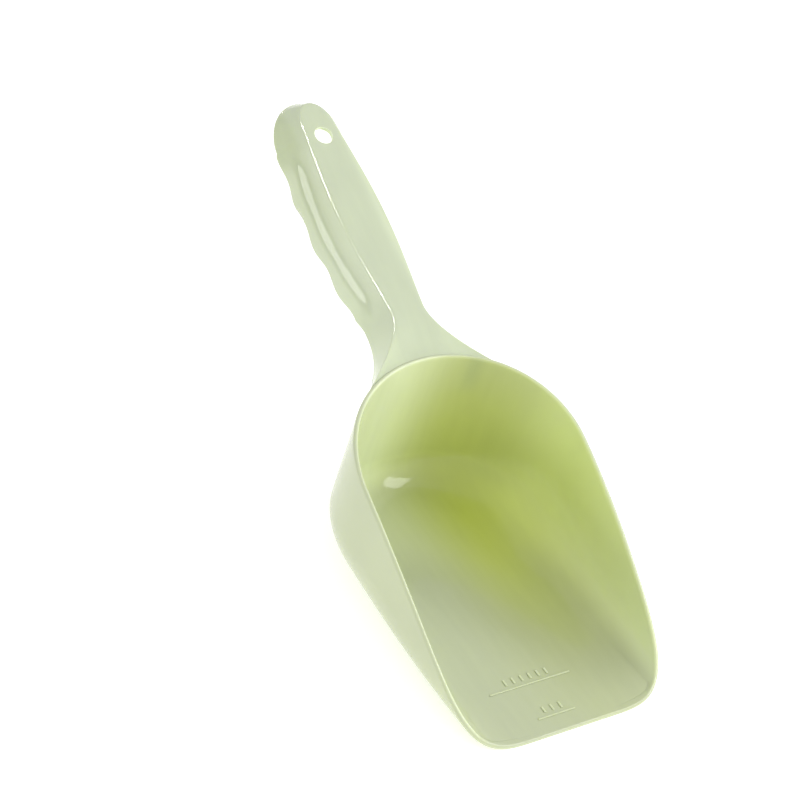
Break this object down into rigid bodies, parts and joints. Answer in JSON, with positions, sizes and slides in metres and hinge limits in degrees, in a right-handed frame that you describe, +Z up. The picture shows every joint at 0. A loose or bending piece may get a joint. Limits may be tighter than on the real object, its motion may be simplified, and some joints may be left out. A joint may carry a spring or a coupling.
{
  "type": "feed scoop",
  "caption": "Hand scoop for dry feed: deep open bowl with a flat floor and straight lip, flared neck and ribbed channel handle with finger grips and a hanging hole.",
  "frame": {"origin": "on the plane that the floor rests on, under the middle of the whole scoop", "axes": "+Y from the lip to the handle's tip, +Z up out of the bowl, +X across; the scoop is the same on both sides of X = 0"},
  "size_m": [0.1084, 0.2658, 0.1098],
  "materials": {
    "bowl_plastic": "smooth glossy translucent polypropylene, pale yellow-green",
    "handle_plastic": "smooth glossy translucent polypropylene, pale grey-green"
  },
  "bodies": {
    "root": {"bowl_shell": "bowl_plastic", "neck": "handle_plastic", "handle_shell": "handle_plastic", "rib_1": "handle_plastic", "rib_2": "handle_plastic", "rib_3": "handle_plastic", "rib_4": "handle_plastic", "measure_marks": "bowl_plastic"}
  },
  "joints": []
}
